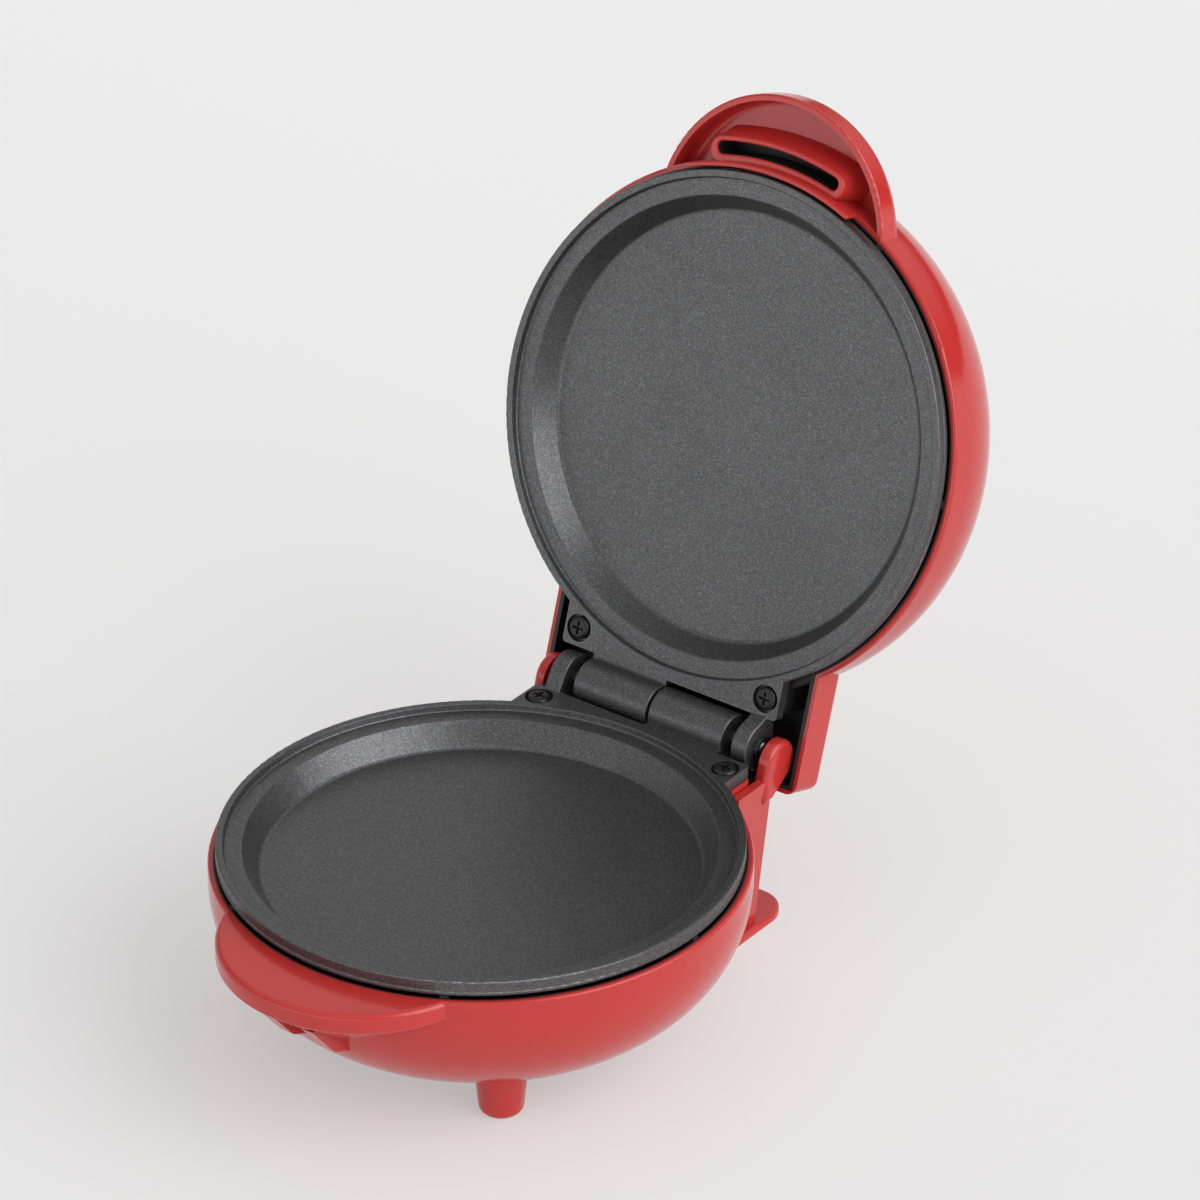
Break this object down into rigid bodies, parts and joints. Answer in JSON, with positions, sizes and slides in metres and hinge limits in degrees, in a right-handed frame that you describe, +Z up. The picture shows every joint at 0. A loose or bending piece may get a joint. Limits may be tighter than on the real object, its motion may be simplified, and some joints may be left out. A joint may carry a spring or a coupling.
{
  "type": "mini waffle maker",
  "caption": "Small countertop cooker with a hinged lid: two round shallow non-stick pans in glossy moulded shells with a finger tab and a hood handle.",
  "frame": {"origin": "on the table, under the middle of the hinge", "axes": "+Z up, +Y from the finger tab to the hinge, +X along the hinge axis"},
  "size_m": [0.1308, 0.2275, 0.1966],
  "materials": {
    "red_plastic": "glossy moulded plastic",
    "nonstick_casting": "cast aluminium under a dark speckled non-stick coating",
    "black_screw": "black oxide",
    "zinc_screw": "zinc plated",
    "heater_sheath": "dull metal sheath",
    "ceramic_bead": "unglazed ceramic",
    "plated_terminal": "tin plated",
    "shield_sheet": "pressed sheet",
    "thermostat_body": "moulded thermoset",
    "terminal_block": "moulded nylon",
    "lead_insulation": "silicone rubber",
    "black_plastic": "moulded nylon",
    "hinge_steel": "turned steel",
    "lens_plastic": "clear amber plastic",
    "lamp_glass": "small glass tube"
  },
  "bodies": {
    "base": {"base_shell": "red_plastic", "rear_cover": "red_plastic", "rear_cover_screws": "zinc_screw", "cord_gland": "black_plastic", "terminal_block": "terminal_block", "terminal_block_screws": "zinc_screw", "base_leads": "lead_insulation", "hinge_pin": "hinge_steel", "hinge_pin_clips": "hinge_steel", "lower_plate": "nonstick_casting", "lower_plate_screws": "black_screw", "lower_heating_element": "heater_sheath", "lower_heater_seals": "ceramic_bead", "lower_heater_terminals": "plated_terminal", "lower_heat_shield": "shield_sheet", "lower_heat_shield_screws": "zinc_screw", "lower_thermostat": "thermostat_body", "lower_thermostat_screws": "zinc_screw"},
    "lid": {"lid_shell": "red_plastic", "indicator_lens": "lens_plastic", "indicator_lamp": "lamp_glass", "lid_leads": "lead_insulation", "upper_plate": "nonstick_casting", "upper_plate_screws": "black_screw", "upper_heating_element": "heater_sheath", "upper_heater_seals": "ceramic_bead", "upper_heater_terminals": "plated_terminal", "upper_heat_shield": "shield_sheet", "upper_heat_shield_screws": "zinc_screw", "upper_thermostat": "thermostat_body", "upper_thermostat_screws": "zinc_screw"}
  },
  "joints": [
    {"name": "lid_hinge", "type": "hinge", "parent": "base", "child": "lid", "pos_m": [0, 0, 0.0508], "axis": [1, 0, 0], "range_deg": [0, 108]}
  ]
}
